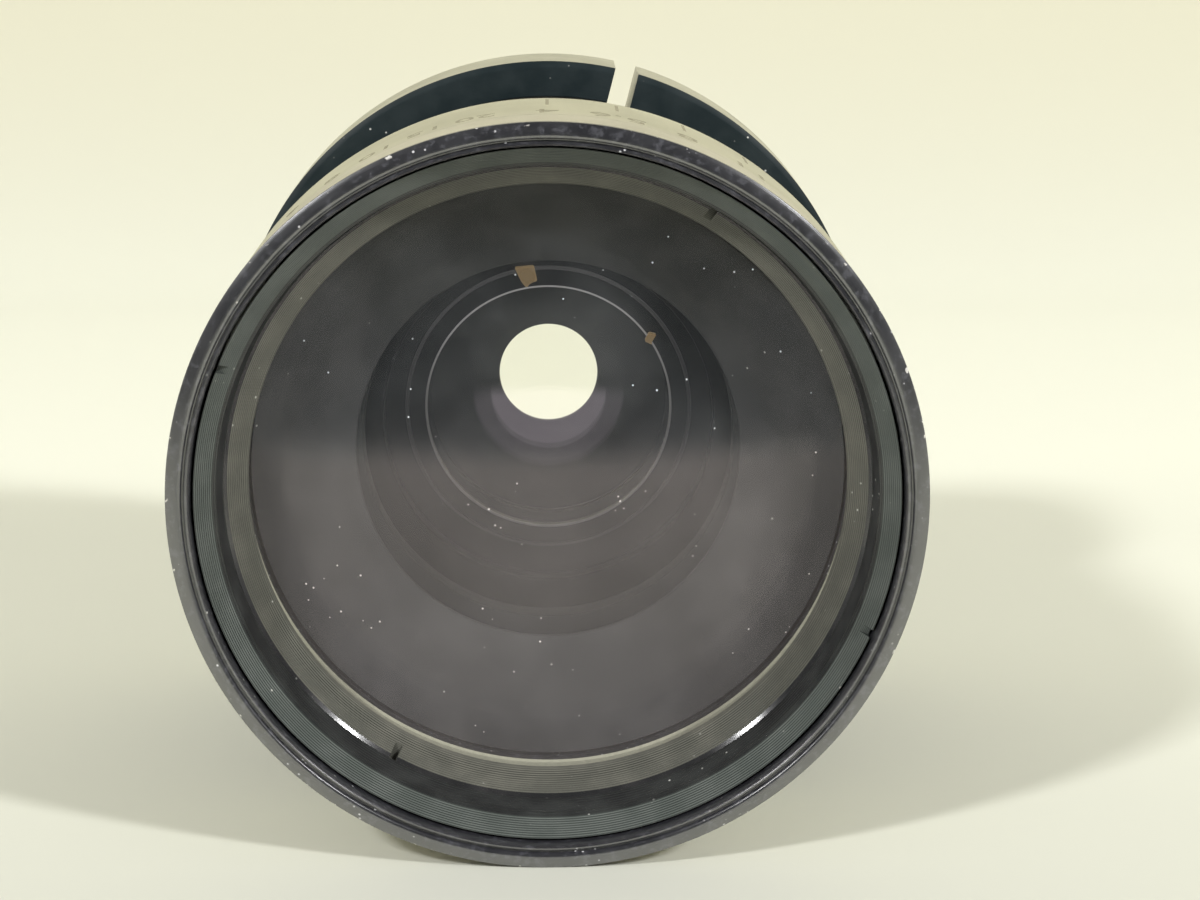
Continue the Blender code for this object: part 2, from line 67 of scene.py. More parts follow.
# ---- meshes -----------------------------------------------------------------------------
def at(radius, face_degrees, depth):
    """World point at a clock position, in metres."""
    angle = math.radians(face_degrees)
    return Vector((radius * math.cos(angle), depth - RIM_TO_ORIGIN, radius * math.sin(angle))) * MM


def rounded(outline):
    """Closed loop of (radius, depth) points; a third number rounds that corner off."""
    made = []
    count = len(outline)
    for index, corner in enumerate(outline):
        here = Vector(corner[:2])
        size = corner[2] if len(corner) > 2 else 0.0
        if not size:
            made.append(tuple(here))
            continue
        back = Vector(outline[index - 1][:2]) - here
        ahead = Vector(outline[(index + 1) % count][:2]) - here
        reach = min(size, back.length * 0.45, ahead.length * 0.45)
        start = here + back.normalized() * reach
        end = here + ahead.normalized() * reach
        for step in range(CORNER_STEPS + 1):
            share = step / CORNER_STEPS
            point = start * (1 - share) ** 2 + here * 2 * share * (1 - share) + end * share ** 2
            made.append(tuple(point))
    return made


def grooved(start, end, pitch, depth):
    """Points of fine V grooves along a line from start to end, cut to its left."""
    first, last = Vector(start), Vector(end)
    along = last - first
    count = max(1, round(along.length / pitch))
    inward = Vector((along.y, -along.x)).normalized() * depth
    points = [tuple(first)]
    for k in range(count):
        valley = first + along * ((k + 0.5) / count) + inward
        crest = first + along * ((k + 1) / count)
        points += [tuple(valley), tuple(crest)]
    return points


def mesh_from(bm, name):
    """Close a bmesh into a mesh with outward faces, smooth but for its sharp edges."""
    bmesh.ops.recalc_face_normals(bm, faces=bm.faces)
    mesh = bpy.data.meshes.new(name)
    bm.to_mesh(mesh)
    bm.free()
    mesh.shade_smooth()
    mesh.set_sharp_from_angle(angle=math.radians(SHARP_ANGLE))
    return mesh


def revolved(name, outline, place, segments):
    """Solid of revolution; place turns (radius, degrees, height) into a point in metres."""
    bm = bmesh.new()
    rings = []
    for radius, height in outline:
        count = segments if radius > ON_AXIS else 1
        rings.append([bm.verts.new(place(radius, 360.0 * k / count, height)) for k in range(count)])
    for ring, following in zip(rings, rings[1:] + rings[:1]):
        if len(ring) == 1 and len(following) == 1:
            continue
        for k in range(segments):
            after = (k + 1) % segments
            corners = (ring[k % len(ring)], ring[after % len(ring)],
                       following[after % len(following)], following[k % len(following)])
            bm.faces.new(tuple(dict.fromkeys(corners)))
    return mesh_from(bm, name)


def turned(name, outline, segments=ROUND):
    """Solid turned about the optical axis from a closed loop of (radius, depth) points."""
    return revolved(name, outline, at, segments)


def slotted_ring(name, outline, slot_at, slot_width):
    """Turned ring with one parallel-sided slot right through its wall."""
    bm = bmesh.new()
    sections = []
    for k in range(ROUND + 1):
        section = []
        for radius, depth in outline:
            half = math.degrees(math.asin(slot_width / 2 / radius))
            angle = slot_at + half + (360.0 - 2 * half) * k / ROUND
            section.append(bm.verts.new(at(radius, angle, depth)))
        sections.append(section)
    count = len(outline)
    for first, second in zip(sections, sections[1:]):
        for k in range(count):
            after = (k + 1) % count
            bm.faces.new((first[k], first[after], second[after], second[k]))
    bm.faces.new(sections[0])
    bm.faces.new(sections[-1])
    return mesh_from(bm, name)


def block_mesh(low, high):
    """Box between two corners, in millimetres, for cutting."""
    bm = bmesh.new()
    bmesh.ops.create_cube(bm, size=1.0)
    size = Vector(high) - Vector(low)
    middle = (Vector(high) + Vector(low)) / 2
    for vert in bm.verts:
        vert.co = Vector(c * s + m for c, s, m in zip(vert.co, size, middle)) * MM
    return mesh_from(bm, "cutter")


def rod_mesh(radius, low, high, sides=48):
    """Upright rod along local Z, in millimetres, for cutting."""
    bm = bmesh.new()
    bmesh.ops.create_cone(bm, cap_ends=True, segments=sides, radius1=radius * MM, radius2=radius * MM,
                          depth=(high - low) * MM)
    for vert in bm.verts:
        vert.co.z += (high + low) / 2 * MM
    return mesh_from(bm, "cutter")


def radial_frame(radius, face_degrees, depth):
    """Frame at a clock position whose +Z points straight out and whose +Y runs to the rear."""
    outward = at(1.0, face_degrees, RIM_TO_ORIGIN).normalized()
    rearward = Vector((0.0, 1.0, 0.0))
    across = rearward.cross(outward)
    turn = Matrix((across, rearward, outward)).transposed().to_4x4()
    return Matrix.Translation(at(radius, face_degrees, depth)) @ turn


def with_cuts(mesh, cuts):
    """Mesh with every (cutter mesh, frame) taken out of it."""
    holder = bpy.data.objects.new("holder", mesh)
    bpy.context.collection.objects.link(holder)
    cutters = []
    for cutter_mesh, place in cuts:
        cutter = bpy.data.objects.new("cutter", cutter_mesh)
        bpy.context.collection.objects.link(cutter)
        cutter.matrix_world = place
        modifier = holder.modifiers.new("cut", "BOOLEAN")
        modifier.solver = "EXACT"
        modifier.object = cutter
        cutters.append(cutter)
    bpy.context.view_layer.update()
    finished = holder.evaluated_get(bpy.context.evaluated_depsgraph_get())
    cut_mesh = bpy.data.meshes.new_from_object(finished)
    for thing in [holder, *cutters]:
        bpy.data.objects.remove(thing, do_unlink=True)
    cut_mesh.shade_smooth()
    cut_mesh.set_sharp_from_angle(angle=math.radians(SHARP_ANGLE))
    return cut_mesh


def piece(name, mesh, body, slot, *materials, stands_for=()):
    """Named object that rides on a body and takes the place of CAD nodes."""
    mesh.name = name
    obj = bpy.data.objects.new(name, mesh)
    bpy.context.collection.objects.link(obj)
    mesh.materials.clear()
    for material in materials:
        mesh.materials.append(material)
    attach(obj, body)
    if stands_for:
        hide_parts(*stands_for)
    return obj


def paint_where(obj, index, test):
    """Give a material index to the faces whose centre (radius, depth, normal) passes a test."""
    for face in obj.data.polygons:
        x, y, z = face.center / MM
        if test(math.hypot(x, z), y + RIM_TO_ORIGIN, face.normal):
            face.material_index = index


# ---- materials --------------------------------------------------------------------------
class Nodes:
    """Short names for the nodes that the materials below are made of."""

    def __init__(self, name):
        self.material = bpy.data.materials.new(name)
        self.material.use_nodes = True
        self.tree = self.material.node_tree
        self.tree.nodes.clear()
        self.output = self.tree.nodes.new("ShaderNodeOutputMaterial")
        self.place = self.tree.nodes.new("ShaderNodeTexCoord").outputs["Object"]

    def link(self, value, socket):
        if isinstance(value, bpy.types.NodeSocket):
            self.tree.links.new(value, socket)
        elif hasattr(value, "__len__") and len(value) == 3 and socket.type == "RGBA":
            socket.default_value = (*value, 1.0)
        else:
            socket.default_value = value

    def math(self, operation, a, b=0.0, clamp=False):
        node = self.tree.nodes.new("ShaderNodeMath")
        node.operation = operation
        node.use_clamp = clamp
        self.link(a, node.inputs[0])
        self.link(b, node.inputs[1])
        return node.outputs[0]

    def smooth(self, value, low, high, out_low=0.0, out_high=1.0):
        node = self.tree.nodes.new("ShaderNodeMapRange")
        node.interpolation_type = "SMOOTHSTEP"
        for socket, given in zip(node.inputs, (value, low, high, out_low, out_high)):
            self.link(given, socket)
        return node.outputs[0]

    def noise(self, scale, detail=3.0, roughness=0.5, vector=None, stretch=None):
        node = self.tree.nodes.new("ShaderNodeTexNoise")
        source = vector or self.place
        if stretch:
            mapping = self.tree.nodes.new("ShaderNodeMapping")
            self.tree.links.new(source, mapping.inputs["Vector"])
            mapping.inputs["Scale"].default_value = stretch
            source = mapping.outputs[0]
        self.tree.links.new(source, node.inputs["Vector"])
        node.inputs["Scale"].default_value = scale
        node.inputs["Detail"].default_value = detail
        node.inputs["Roughness"].default_value = roughness
        return node.outputs["Fac"]

    def specks(self, scale, size):
        """1 inside small round specks, 0 elsewhere."""
        node = self.tree.nodes.new("ShaderNodeTexVoronoi")
        self.tree.links.new(self.place, node.inputs["Vector"])
        node.inputs["Scale"].default_value = scale
        return self.smooth(node.outputs["Distance"], size, size * 0.4)

    def coordinates(self):
        """X, Y and Z of the point, in metres."""
        parts = self.tree.nodes.new("ShaderNodeSeparateXYZ")
        self.tree.links.new(self.place, parts.inputs[0])
        return parts.outputs

    def polar(self):
        """Radius, distance along Y and clock angle of the point, in metres and radians."""
        x, y, z = self.coordinates()
        squares = self.math("ADD", self.math("MULTIPLY", x, x), self.math("MULTIPLY", z, z))
        return self.math("SQRT", squares), y, self.math("ARCTAN2", z, x)

    def vector(self, x, y, z):
        node = self.tree.nodes.new("ShaderNodeCombineXYZ")
        for socket, given in zip(node.inputs, (x, y, z)):
            self.link(given, socket)
        return node.outputs[0]

    def mix(self, factor, first, second):
        node = self.tree.nodes.new("ShaderNodeMix")
        node.data_type = "RGBA"
        self.link(factor, node.inputs["Factor"])
        self.link(first, node.inputs["A"])
        self.link(second, node.inputs["B"])
        return next(socket for socket in node.outputs if socket.type == "RGBA")

    def bump(self, height, distance):
        node = self.tree.nodes.new("ShaderNodeBump")
        self.link(height, node.inputs["Height"])
        node.inputs["Distance"].default_value = distance
        return node.outputs[0]

    def shader(self, kind, **values):
        node = self.tree.nodes.new(kind)
        for key, value in values.items():
            self.link(value, node.inputs[key.replace("_", " ")])
        return node.outputs[0]

    def mix_shader(self, factor, first, second):
        node = self.tree.nodes.new("ShaderNodeMixShader")
        self.link(factor, node.inputs[0])
        self.link(first, node.inputs[1])
        self.link(second, node.inputs[2])
        return node.outputs[0]

    def done(self, shader):
        self.tree.links.new(shader, self.output.inputs["Surface"])
        return self.material


def turning_marks(n, fineness, detail, around):
    """Noise drawn out round the axis, as a lathe or a brush leaves it."""
    radius, y, angle = n.polar()
    drawn_out = n.vector(n.math("MULTIPLY", radius, fineness), n.math("MULTIPLY", y, fineness),
                         n.math("MULTIPLY", angle, around))
    return n.noise(1.0, detail, vector=drawn_out)


def scaled(colour, share):
    """Colour with each channel scaled by a share."""
    return tuple(channel * share for channel in colour)


def anodised(name, dark, light, roughness, turning=0.6, wear_at=None, ior=1.6, groove_pitch=None,
             worn=False):
    """Black anodised aluminium: cloudy dye, fine turning marks, bare flecks on worn edges, painted shade in
    grooves.
    """
    n = Nodes(name)
    radius = n.polar()[0]
    cloud = n.noise(260.0, 4.0)
    lathe = turning_marks(n, 9000.0, 2.0, 0.8)
    colour = n.mix(n.smooth(cloud, 0.35, 0.7), dark, light)
    rough = n.math("ADD", n.math("MULTIPLY", cloud, 0.10), roughness - 0.05)
    # painted shade: a dark ring for each groove, where the grooves fall in shade
    if groove_pitch:
        wave = n.math("SINE", n.math("MULTIPLY", radius, math.tau / (groove_pitch * MM)))
        painted_groove_shade = n.smooth(wave, -0.3, 0.9)
        colour = n.mix(n.math("MULTIPLY", painted_groove_shade, 0.75), colour, scaled(dark, 0.35))
    if worn:
        patches = n.smooth(n.noise(1100.0, 4.0, 0.65), 0.50, 0.68)
        colour = n.mix(n.math("MULTIPLY", patches, 0.7), colour, scaled(light, 2.6))
        flecks = n.math("MULTIPLY", n.specks(900.0, 0.16), n.smooth(n.noise(210.0), 0.50, 0.58))
        colour = n.mix(flecks, colour, (0.60, 0.60, 0.62))
    if wear_at:
        edge = n.smooth(n.math("ABSOLUTE", n.math("SUBTRACT", radius, wear_at * MM)), 0.00030, 0.00008)
        chips = n.smooth(n.noise(900.0, 2.0), 0.66, 0.71)
        colour = n.mix(n.math("MULTIPLY", edge, chips), colour, (0.62, 0.60, 0.56))
    dust = n.math("MULTIPLY", n.specks(620.0, 0.11), n.smooth(n.noise(130.0), 0.52, 0.62))
    colour = n.mix(dust, colour, (0.45, 0.45, 0.42))
    return n.done(n.shader("ShaderNodeBsdfPrincipled", Base_Color=colour, Roughness=rough, IOR=ior,
                           Normal=n.bump(n.math("MULTIPLY", lathe, turning), 0.00001)))


def satin_silver(name, base, tint, roughness):
    """Clear anodised aluminium with brushing round the axis and a slightly warmer front."""
    n = Nodes(name)
    brushing = turning_marks(n, 6000.0, 3.0, 2.0)
    front = n.smooth(n.coordinates()[1], -0.0745, -0.0800)
    smudge = n.smooth(n.noise(90.0, 4.0), 0.35, 0.75)
    colour = n.mix(front, base, tint)
    colour = n.mix(n.math("MULTIPLY", smudge, 0.25), colour, scaled(base, 0.82))
    rough = n.math("ADD", n.math("MULTIPLY", smudge, 0.12), roughness)
    return n.done(n.shader("ShaderNodeBsdfPrincipled", Base_Color=colour, Roughness=rough, Metallic=0.85,
                           Normal=n.bump(brushing, 0.00002)))


def matt_paint(name, dark, light, roughness, painted_glow=0.0):
    """Optical black paint with fine tooth and a few dust grains; an edge may carry a painted highlight, an
    emission strongest at its top.
    """
    n = Nodes(name)
    tooth = n.noise(2600.0, 2.0)
    cloud = n.noise(180.0, 4.0)
    colour = n.mix(n.smooth(cloud, 0.35, 0.7), dark, light)
    dust = n.math("MULTIPLY", n.specks(520.0, 0.09), n.smooth(n.noise(110.0), 0.54, 0.62))
    colour = n.mix(dust, colour, (0.40, 0.40, 0.38))
    painted_glow_strength = 0.0
    # painted highlight: an emission strongest at the top of the edge
    if painted_glow:
        angle = n.polar()[2]
        painted_glow_strength = n.smooth(n.math("SINE", angle), 0.0, 0.95, painted_glow * 0.3, painted_glow)
    return n.done(n.shader("ShaderNodeBsdfPrincipled", Base_Color=colour, Emission_Color=(1.0, 0.96, 0.97),
                           Emission_Strength=painted_glow_strength,
                           Roughness=n.math("ADD", n.math("MULTIPLY", cloud, 0.12), roughness - 0.06),
                           Normal=n.bump(tooth, 0.0000005)))


def steel(name):
    """Turned steel with fine circular marks."""
    n = Nodes(name)
    grain = n.noise(3200.0, 2.0, stretch=(1.0, 6.0, 1.0))
    colour = n.mix(grain, (0.34, 0.34, 0.35), (0.56, 0.56, 0.55))
    return n.done(n.shader("ShaderNodeBsdfPrincipled", Base_Color=colour, Metallic=1.0,
                           Roughness=n.math("ADD", n.math("MULTIPLY", grain, 0.2), 0.2),
                           Normal=n.bump(grain, 0.00001)))


REFLECTION_FILM_TOP, REFLECTION_FILM_FULL = 0.0075, 0.0035     # heights where the front glass's painted reflection of the floor starts and is full
REFLECTION_FILM_UNEVENNESS = 0.004
REFLECTION_FILM_COVER = 0.026


def coated_glass(name, mirror_tint, mirror, haze, dust_and_reflection):
    """Polished element with a weak mirror and a thin haze; it may add dust grains and a painted reflection of
    the floor on its lower half.
    """
    n = Nodes(name)
    facing = n.tree.nodes.new("ShaderNodeLayerWeight")
    facing.inputs["Blend"].default_value = 0.5
    grazing = n.math("POWER", facing.outputs["Facing"], 4.0)
    share = n.math("ADD", n.math("MULTIPLY", grazing, 1.0 - mirror), mirror, clamp=True)
    clear = n.shader("ShaderNodeBsdfTransparent", Color=(1.0, 1.0, 0.995))
    glare = n.shader("ShaderNodeBsdfGlossy", Color=mirror_tint, Roughness=0.012)
    body = n.mix_shader(share, clear, glare)
    cloud = n.smooth(n.noise(60.0, 5.0, 0.6), 0.40, 0.75)
    veil = n.math("ADD", n.math("MULTIPLY", cloud, haze), haze * 0.5)
    tint = n.mix(cloud, (0.66, 0.70, 0.74), (0.70, 0.72, 0.74))
    if dust_and_reflection:
        # painted reflection of the floor: a pale film, thicker below a fixed height, tinted warm grey
        height = n.coordinates()[2]
        level = n.math("ADD", height, n.math("MULTIPLY", n.noise(45.0), REFLECTION_FILM_UNEVENNESS))
        painted_floor_reflection = n.smooth(level, REFLECTION_FILM_TOP, REFLECTION_FILM_FULL)
        veil = n.math("ADD", veil, n.math("MULTIPLY", painted_floor_reflection, REFLECTION_FILM_COVER))
        tint = n.mix(painted_floor_reflection, tint, (0.76, 0.70, 0.69))
        grains = n.math("MULTIPLY", n.specks(520.0, 0.08), n.smooth(n.noise(75.0), 0.53, 0.60))
        veil = n.math("ADD", veil, n.math("MULTIPLY", grains, 0.8), clamp=True)
    film = n.shader("ShaderNodeBsdfDiffuse", Color=tint)
    return n.done(n.mix_shader(veil, body, film))


INNER_CRESCENT, OUTER_CRESCENT = 0.0072, 0.0093     # radii of the two painted ghost reflections under the hole
INNER_PAINTED_GHOST, OUTER_PAINTED_GHOST = 0.034, 0.018


def straight_glass(name, coat, painted_glow=False):
    """Glass of the rear group, clear and unbending; it may carry two faintly glowing lilac crescents, painted
    ghost reflections.
    """
    n = Nodes(name)
    cloud = n.noise(70.0, 4.0)
    colour = n.mix(cloud, (0.99, 0.99, 0.965), (1.0, 1.0, 0.985))
    clear = n.shader("ShaderNodeBsdfPrincipled", Base_Color=colour, Roughness=0.0, IOR=1.0,
                     Transmission_Weight=1.0, Coat_Weight=coat, Coat_Roughness=0.02)
    if not painted_glow:
        return n.done(clear)
    # painted reflection: two glowing lilac crescents below the hole stand for ghost images
    radius, y, angle = n.polar()
    below = n.smooth(n.math("SINE", angle), 0.10, -0.20)
    inner = n.smooth(radius, INNER_CRESCENT + 0.00015, INNER_CRESCENT)
    outer = n.smooth(radius, OUTER_CRESCENT + 0.0003, OUTER_CRESCENT)
    both_rings = n.math("ADD", n.math("MULTIPLY", inner, INNER_PAINTED_GHOST), n.math("MULTIPLY", outer, OUTER_PAINTED_GHOST))
    painted_glow_strength = n.math("MULTIPLY", both_rings, below)
    ghost = n.shader("ShaderNodeEmission", Color=(1.0, 0.86, 1.0), Strength=painted_glow_strength)
    both = n.tree.nodes.new("ShaderNodeAddShader")
    n.link(clear, both.inputs[0])
    n.link(ghost, both.inputs[1])
    return n.done(both.outputs[0])


def ground_edge(name):
    """Fine-ground glass edge, pale and matt, with a faint painted emission that brightens it."""
    n = Nodes(name)
    tooth = n.noise(1800.0, 3.0)
    colour = n.mix(tooth, (0.26, 0.26, 0.20), (0.40, 0.39, 0.31))
    # the faint emission is painted light
    return n.done(n.shader("ShaderNodeBsdfPrincipled", Base_Color=colour, Roughness=0.75,
                           Emission_Color=(1.0, 0.97, 0.82), Emission_Strength=0.02,
                           Normal=n.bump(tooth, 0.00001)))


def amber_plastic(name, centre):
    """Clear amber light guide, paler towards its edges, with a painted emission as if lit from inside."""
    n = Nodes(name)
    offset = n.tree.nodes.new("ShaderNodeVectorMath")
    offset.operation = "DISTANCE"
    n.link(n.place, offset.inputs[0])
    offset.inputs[1].default_value = centre
    border = n.smooth(offset.outputs["Value"], 0.0006, 0.0012)
    ripple = n.noise(2400.0, 2.0, stretch=(3.0, 1.0, 0.6))
    inner = n.mix(ripple, (0.36, 0.20, 0.055), (0.62, 0.42, 0.16))
    colour = n.mix(border, inner, (0.72, 0.62, 0.44))
    # the emission is painted light
    return n.done(n.shader("ShaderNodeBsdfPrincipled", Base_Color=colour, Roughness=0.25,
                           Emission_Color=(0.80, 0.55, 0.26), Emission_Strength=0.18))


def engraving_paint(name):
    """Faded tan paint that fills the engraved scale."""
    n = Nodes(name)
    fade = n.noise(1500.0, 3.0)
    colour = n.mix(n.smooth(fade, 0.3, 0.7), (0.22, 0.20, 0.13), (0.36, 0.33, 0.24))
    return n.done(n.shader("ShaderNodeBsdfPrincipled", Base_Color=colour, Roughness=0.6))


BLACK_LIP = anodised("lip_black_anodised", (0.018, 0.018, 0.022), (0.030, 0.030, 0.035), 0.32, 0.8,
                     wear_at=39.85, ior=2.7, worn=True)
GLOSSY_EDGE = anodised("glossy_black_edge", (0.020, 0.020, 0.021), (0.034, 0.033, 0.034), 0.14, 0.2, ior=1.9)
BLACK_BARREL = anodised("barrel_black_anodised", (0.018, 0.018, 0.022), (0.032, 0.032, 0.036), 0.36, 1.0)
GROOVE_OUTER = anodised("outer_ring_black", (0.084, 0.096, 0.088), (0.112, 0.124, 0.115), 0.46, 0.5, ior=1.45,
                        groove_pitch=2.0 / 11)
# darker black: painted shade on the step wall and the outer ring's inner edge
STEP_WALL_SHADE = anodised("step_wall_painted_shade", (0.020, 0.021, 0.021), (0.034, 0.036, 0.035), 0.30, 0.5, ior=1.6)
GROOVE_INNER = anodised("inner_ring_black", (0.108, 0.108, 0.092), (0.145, 0.142, 0.120), 0.40, 0.5, ior=1.5,
                        groove_pitch=1.95 / 11)
COLLAR_FACE = anodised("collar_face_black", (0.012, 0.019, 0.021), (0.020, 0.028, 0.030), 0.40, 1.0, ior=1.5)
BAND_SILVER = satin_silver("band_satin_silver", (0.62, 0.605, 0.50), (0.64, 0.61, 0.54), 0.38)
COLLAR_SILVER = satin_silver("collar_bare_silver", (0.50, 0.49, 0.43), (0.50, 0.49, 0.43), 0.30)
MATT_BLACK = matt_paint("optical_matt_black", (0.016, 0.017, 0.018), (0.028, 0.028, 0.030), 0.62)
CELL_BLACK = matt_paint("cell_semi_matt_black", (0.020, 0.020, 0.021), (0.036, 0.035, 0.035), 0.42)
CONE_BLACK = matt_paint("front_cone_black", (0.034, 0.034, 0.036), (0.052, 0.051, 0.053), 0.62)
# pale paint with an emission, strongest at the top: painted highlights on the iris base's edges
PAINTED_HIGHLIGHT_EDGE = matt_paint("painted_highlight_edge", (0.22, 0.21, 0.20), (0.42, 0.41, 0.40), 0.35, painted_glow=0.22)
FAINT_HIGHLIGHT_EDGE = matt_paint("thin_painted_highlight_edge", (0.055, 0.053, 0.055), (0.085, 0.082, 0.085), 0.40, painted_glow=0.035)
BLADE_BLACK = matt_paint("blade_black", (0.014, 0.014, 0.016), (0.030, 0.030, 0.034), 0.48)
STEEL = steel("screw_steel")
# the front glass also has dust grains and a painted reflection of the floor on its lower half
GLASS_FRONT = coated_glass("front_coated_glass", (0.99, 0.91, 0.96), 0.014, 0.026, True)
GLASS_INNER = coated_glass("inner_coated_glass", (0.86, 0.78, 1.0), 0.005, 0.002, False)
GLASS_REAR = straight_glass("rear_group_glass", 0.7)
# the fourth glass carries the painted ghost reflections
GLASS_FOURTH = straight_glass("fourth_coated_glass", 0.08, painted_glow=True)
GROUND_EDGE = ground_edge("ground_glass_edge")
SCALE_PAINT = engraving_paint("scale_paint")


# ---- barrel pieces ----------------------------------------------------------------------
NOTCH_REACH = 1.1             # half the radial size of a spanner notch's cutter


def notch_cuts(notches, radius, depth, width=0.86, tall=1.3):
    """Cutters for spanner notches at clock positions."""
    half = width / 2
    low, high = (-half, -tall, -NOTCH_REACH), (half, tall, NOTCH_REACH)
    return [(block_mesh(low, high), radial_frame(radius, face_degrees, depth)) for face_degrees in notches]


def build_front():
    """Front barrel: crowned lip, fine groove, bright inner lip, and the bore behind it."""
    outer_crown = [
        (38.24, 0.55), (38.28, 0.30), (38.38, 0.14), (38.52, 0.03), (38.70, 0.0), (39.00, 0.09),
        (39.45, 0.30), (39.88, 0.51), (39.97, 0.60), (40.0, 0.75),
    ]
    groove_floor = (38.05, 0.6)
    inner_crown = [(37.5, 0.85), (37.52, 0.55), (37.58, 0.33), (37.70, 0.20), (37.82, 0.22), (38.00, 0.34)]
    outline = outer_crown + rounded([
        (40.0, 1.4, 0.15), (38.0, 1.4), (38.0, 28.9, 0.2), (35.0, 28.9),
        (35.0, 38.4, 0.2), (34.0, 38.4, 0.2), (34.0, 22.9), (33.0, 22.9), (33.0, 17.7), (36.3, 17.7),
        (36.3, 8.5), (37.5, 8.5),
    ]) + inner_crown + [groove_floor]
    piece("front_barrel_turned", turned("front", outline), "barrel", "black_anodised", BLACK_LIP,
          stands_for=["front_barrel"])


GROOVE_PITCH = 0.30           # of the fine turned grooves that break up reflections


def build_retaining_rings():
    """The two notched rings round the front glass, with their fine turned grooves."""
    step_wall = grooved((35.1, 4.55), (34.75, 8.2), 0.62, 0.10)
    grooves = grooved((37.15, 1.9), (35.15, 4.35), GROOVE_PITCH, 0.06)
    outer = [(37.2, 1.9), *grooves, *step_wall, (34.75, 8.3), (37.2, 8.3)]
    mesh = with_cuts(turned("outer", outer), notch_cuts((157.4, -23.0), 36.6, 1.9))
    obj = piece("outer_ring_grooved", mesh, "barrel", "grooved_black", GROOVE_OUTER, STEP_WALL_SHADE,
                stands_for=["outer_retaining_ring"])
    # painted shade: the step wall and a thin band at the ring's inner edge take the darker black
    paint_where(obj, 1, lambda radius, depth, normal: depth > 4.38 or (radius < 35.42 and depth > 3.9))

    grooves = grooved((34.4, 8.85), (32.45, 11.25), GROOVE_PITCH, 0.08)
    glossy_bevel = [(34.9, 8.35), (34.42, 8.83)]
    inner = [(36.0, 8.35), *glossy_bevel, *grooves, (32.4, 11.35), (32.4, 12.1), (36.0, 12.1)]
    mesh = with_cuts(turned("inner", inner), notch_cuts((59.6, 240.5), 34.1, 8.9))
    obj = piece("inner_ring_grooved", mesh, "barrel", "grooved_black", GROOVE_INNER, GLOSSY_EDGE,
                stands_for=["inner_retaining_ring"])
    paint_where(obj, 1, lambda radius, depth, normal: radius > 34.41 and depth < 8.9)


def sag(curve_radius, radius):
    """How far a spherical surface has fallen back at a radius; the sign is the curve's."""
    size = abs(curve_radius)
    return math.copysign(size - math.sqrt(size * size - radius * radius), curve_radius)


def element_outline(front, rear, edge_radius):
    """Loop of an element from (vertex depth, curve radius) pairs, bevelled at its ground edge."""
    bevel = 0.25
    steps = 20
    radii = [(edge_radius - bevel) * k / steps for k in range(steps + 1)]
    front_points = [(r, front[0] + sag(front[1], r)) for r in radii]
    rear_points = [(r, rear[0] + sag(rear[1], r)) for r in reversed(radii)]
    edge = [(edge_radius, front_points[-1][1] + bevel), (edge_radius, rear_points[0][1] - bevel)]
    return front_points + edge + rear_points


def build_glass():
    """Five elements; the front one has a pale ground edge and the others blackened edges."""
    edge_width = 0.3
    elements = [
        ("front_glass", "front_element", (7.4, 105.0), (12.5, 140.0), 33.3, GLASS_FRONT, ROUND),
        ("second_glass", "second_element", (24.6, 60.0), (33.3, 200.0), 24.2, GLASS_INNER, ROUND),
        ("third_glass", "third_element", (34.5, 50.0), (37.8, 60.0), 24.2, GLASS_INNER, ROUND_SMALL),
        ("fourth_glass", "fourth_element", (64.3, -35.0), (67.6, -25.0), 14.9, GLASS_FOURTH, ROUND_SMALL),
        ("rear_glass", "rear_element", (77.7, 80.0), (85.8, -40.0), 18.0, GLASS_REAR, ROUND_SMALL),
    ]
    for name, node, front, rear, edge, glass, segments in elements:
        mesh = turned(name, element_outline(front, rear, edge), segments)
        finish = GROUND_EDGE if node == "front_element" else MATT_BLACK
        obj = piece(name, mesh, "barrel", "coated_glass", glass, finish, stands_for=[node])
        inside = edge - edge_width
        paint_where(obj, 1, lambda radius, depth, normal, inside=inside: radius > inside)


